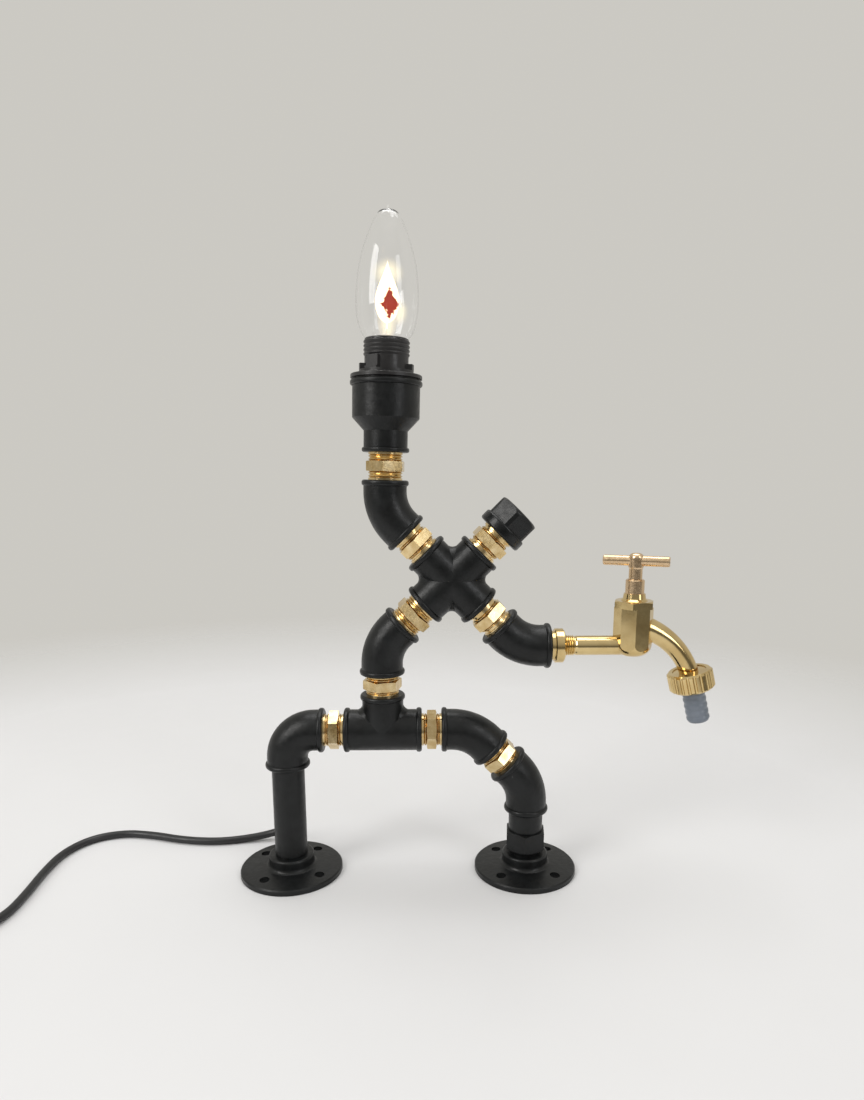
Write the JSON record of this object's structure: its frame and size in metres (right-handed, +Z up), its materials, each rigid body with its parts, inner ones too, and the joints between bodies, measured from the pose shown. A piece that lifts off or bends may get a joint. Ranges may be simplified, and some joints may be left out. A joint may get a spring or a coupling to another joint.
{
  "type": "industrial pipe table lamp",
  "caption": "Table lamp built from black threaded pipe fittings on two floor flanges, with brass nipples, a bib tap with a hose tail and a bare candle bulb.",
  "frame": {"origin": "centre of the left floor flange's underside, on the table", "axes": "+X along the lamp from the left foot to the tap, +Z up, +Y to the back"},
  "size_m": [0.586, 0.1714, 0.4144],
  "materials": {
    "black_iron": "cast iron in satin black paint",
    "nipple_brass": "plain turned brass",
    "tap_brass": "polished cast brass",
    "contact_brass": "thin pressed brass",
    "black_plastic": "moulded black plastic",
    "white_ceramic": "white insulating insert",
    "black_rubber": "black rubber",
    "graphite_packing": "graphited packing",
    "clear_glass": "clear blown glass",
    "flame_orange": "coated flame plates that glow",
    "grey_plastic": "moulded grey plastic",
    "cable_sheath": "smooth black flexible sheath",
    "pin_chrome": "nickel-plated pins"
  },
  "bodies": {
    "frame": {"left_flange": "black_iron", "right_flange": "black_iron", "left_leg_pipe": "black_iron", "cable_grommet": "black_rubber", "corner_elbow": "black_iron", "base_tee": "black_iron", "knee_elbow_upper": "black_iron", "knee_elbow_lower": "black_iron", "foot_nipple": "black_iron", "back_elbow": "black_iron", "pipe_cross": "black_iron", "end_cap": "black_iron", "base_run_nipple": "nipple_brass", "knee_run_nipple": "nipple_brass", "knee_nipple": "nipple_brass", "back_lower_nipple": "nipple_brass", "back_upper_nipple": "nipple_brass", "upper_nipple": "nipple_brass", "cap_nipple": "nipple_brass", "arm_nipple": "nipple_brass", "frame_flex": "cable_sheath", "lead_to_switch": "cable_sheath", "lead_to_coil": "cable_sheath", "lead_to_plug": "cable_sheath", "cord_coil": "cable_sheath", "cord_tie": "black_plastic", "switch_lower_shell": "black_plastic", "switch_upper_shell": "black_plastic", "plug_body": "black_plastic", "plug_pins": "pin_chrome"},
    "lamp_head": {"upper_elbow": "black_iron", "head_nipple": "nipple_brass", "reducing_socket": "black_iron", "holder_ring": "black_plastic", "holder_shell": "black_plastic", "holder_insert": "white_ceramic", "holder_screw_shell": "contact_brass", "holder_contact": "contact_brass", "head_flex": "cable_sheath"},
    "bulb_base": {"bulb_cap": "contact_brass", "bulb_insulator": "black_plastic", "bulb_contact": "contact_brass"},
    "bulb": {"bulb_glass": "clear_glass", "bulb_stem": "clear_glass", "flame_plates": "flame_orange"},
    "tap": {"arm_elbow": "black_iron", "tap_bush": "tap_brass", "tap_body": "tap_brass", "tap_bonnet": "tap_brass", "gland_nut": "tap_brass", "gland_packing": "graphite_packing"},
    "valve": {"jumper_valve": "tap_brass", "valve_washer": "black_rubber"},
    "spindle": {"tap_spindle": "tap_brass", "handle_bar": "tap_brass"},
    "hose_tail": {"hose_tail": "grey_plastic", "hose_washer": "black_rubber"},
    "union_nut": {"union_nut": "tap_brass"},
    "rocker": {"switch_rocker": "black_plastic"}
  },
  "joints": [
    {"name": "lamp_arm_turn", "type": "hinge", "parent": "frame", "child": "lamp_head", "pos_m": [0.07997, 0, 0.22531], "axis": [-0.7071, 0, 0.7071], "range_deg": [-60, 60]},
    {"name": "bulb_lift", "type": "slide", "parent": "lamp_head", "child": "bulb_base", "axis": [0.0262, 0, 0.9997], "range_m": [0, 0.0085]},
    {"name": "bulb_turn", "type": "hinge", "parent": "bulb_base", "child": "bulb", "pos_m": [0.06815, 0, 0.31684], "axis": [0.0262, 0, 0.9997], "range_deg": [0, 1083.8]},
    {"name": "tap_arm_turn", "type": "hinge", "parent": "frame", "child": "tap", "pos_m": [0.13689, 0, 0.16839], "axis": [0.7071, 0, -0.7071], "range_deg": [-35, 35]},
    {"name": "valve_lift", "type": "slide", "parent": "tap", "child": "valve", "axis": [0, 0, 1], "range_m": [0, 0.00502]},
    {"name": "handle_turn", "type": "hinge", "parent": "valve", "child": "spindle", "pos_m": [0.22335, 0, 0.15453], "axis": [0, 0, 1], "range_deg": [0, 900]},
    {"name": "tail_off", "type": "slide", "parent": "tap", "child": "hose_tail", "axis": [0.2419, 0, -0.9703], "range_m": [0, 0.00802]},
    {"name": "nut_turn", "type": "hinge", "parent": "hose_tail", "child": "union_nut", "pos_m": [0.26279, 0, 0.13116], "axis": [0.2419, 0, -0.9703], "range_deg": [0, 1587.7]},
    {"name": "rocker_tilt", "type": "hinge", "parent": "frame", "child": "rocker", "pos_m": [-0.22667, -0.08934, 0.012], "axis": [0.1498, -0.9887, 0], "range_deg": [-14, 0]}
  ],
  "couplings": [
    {"joint": "bulb_lift", "follows": "bulb_turn", "m_per_rad": 0.00044914},
    {"joint": "valve_lift", "follows": "handle_turn", "m_per_rad": 0.00031831},
    {"joint": "tail_off", "follows": "nut_turn", "m_per_rad": 0.00028871}
  ]
}
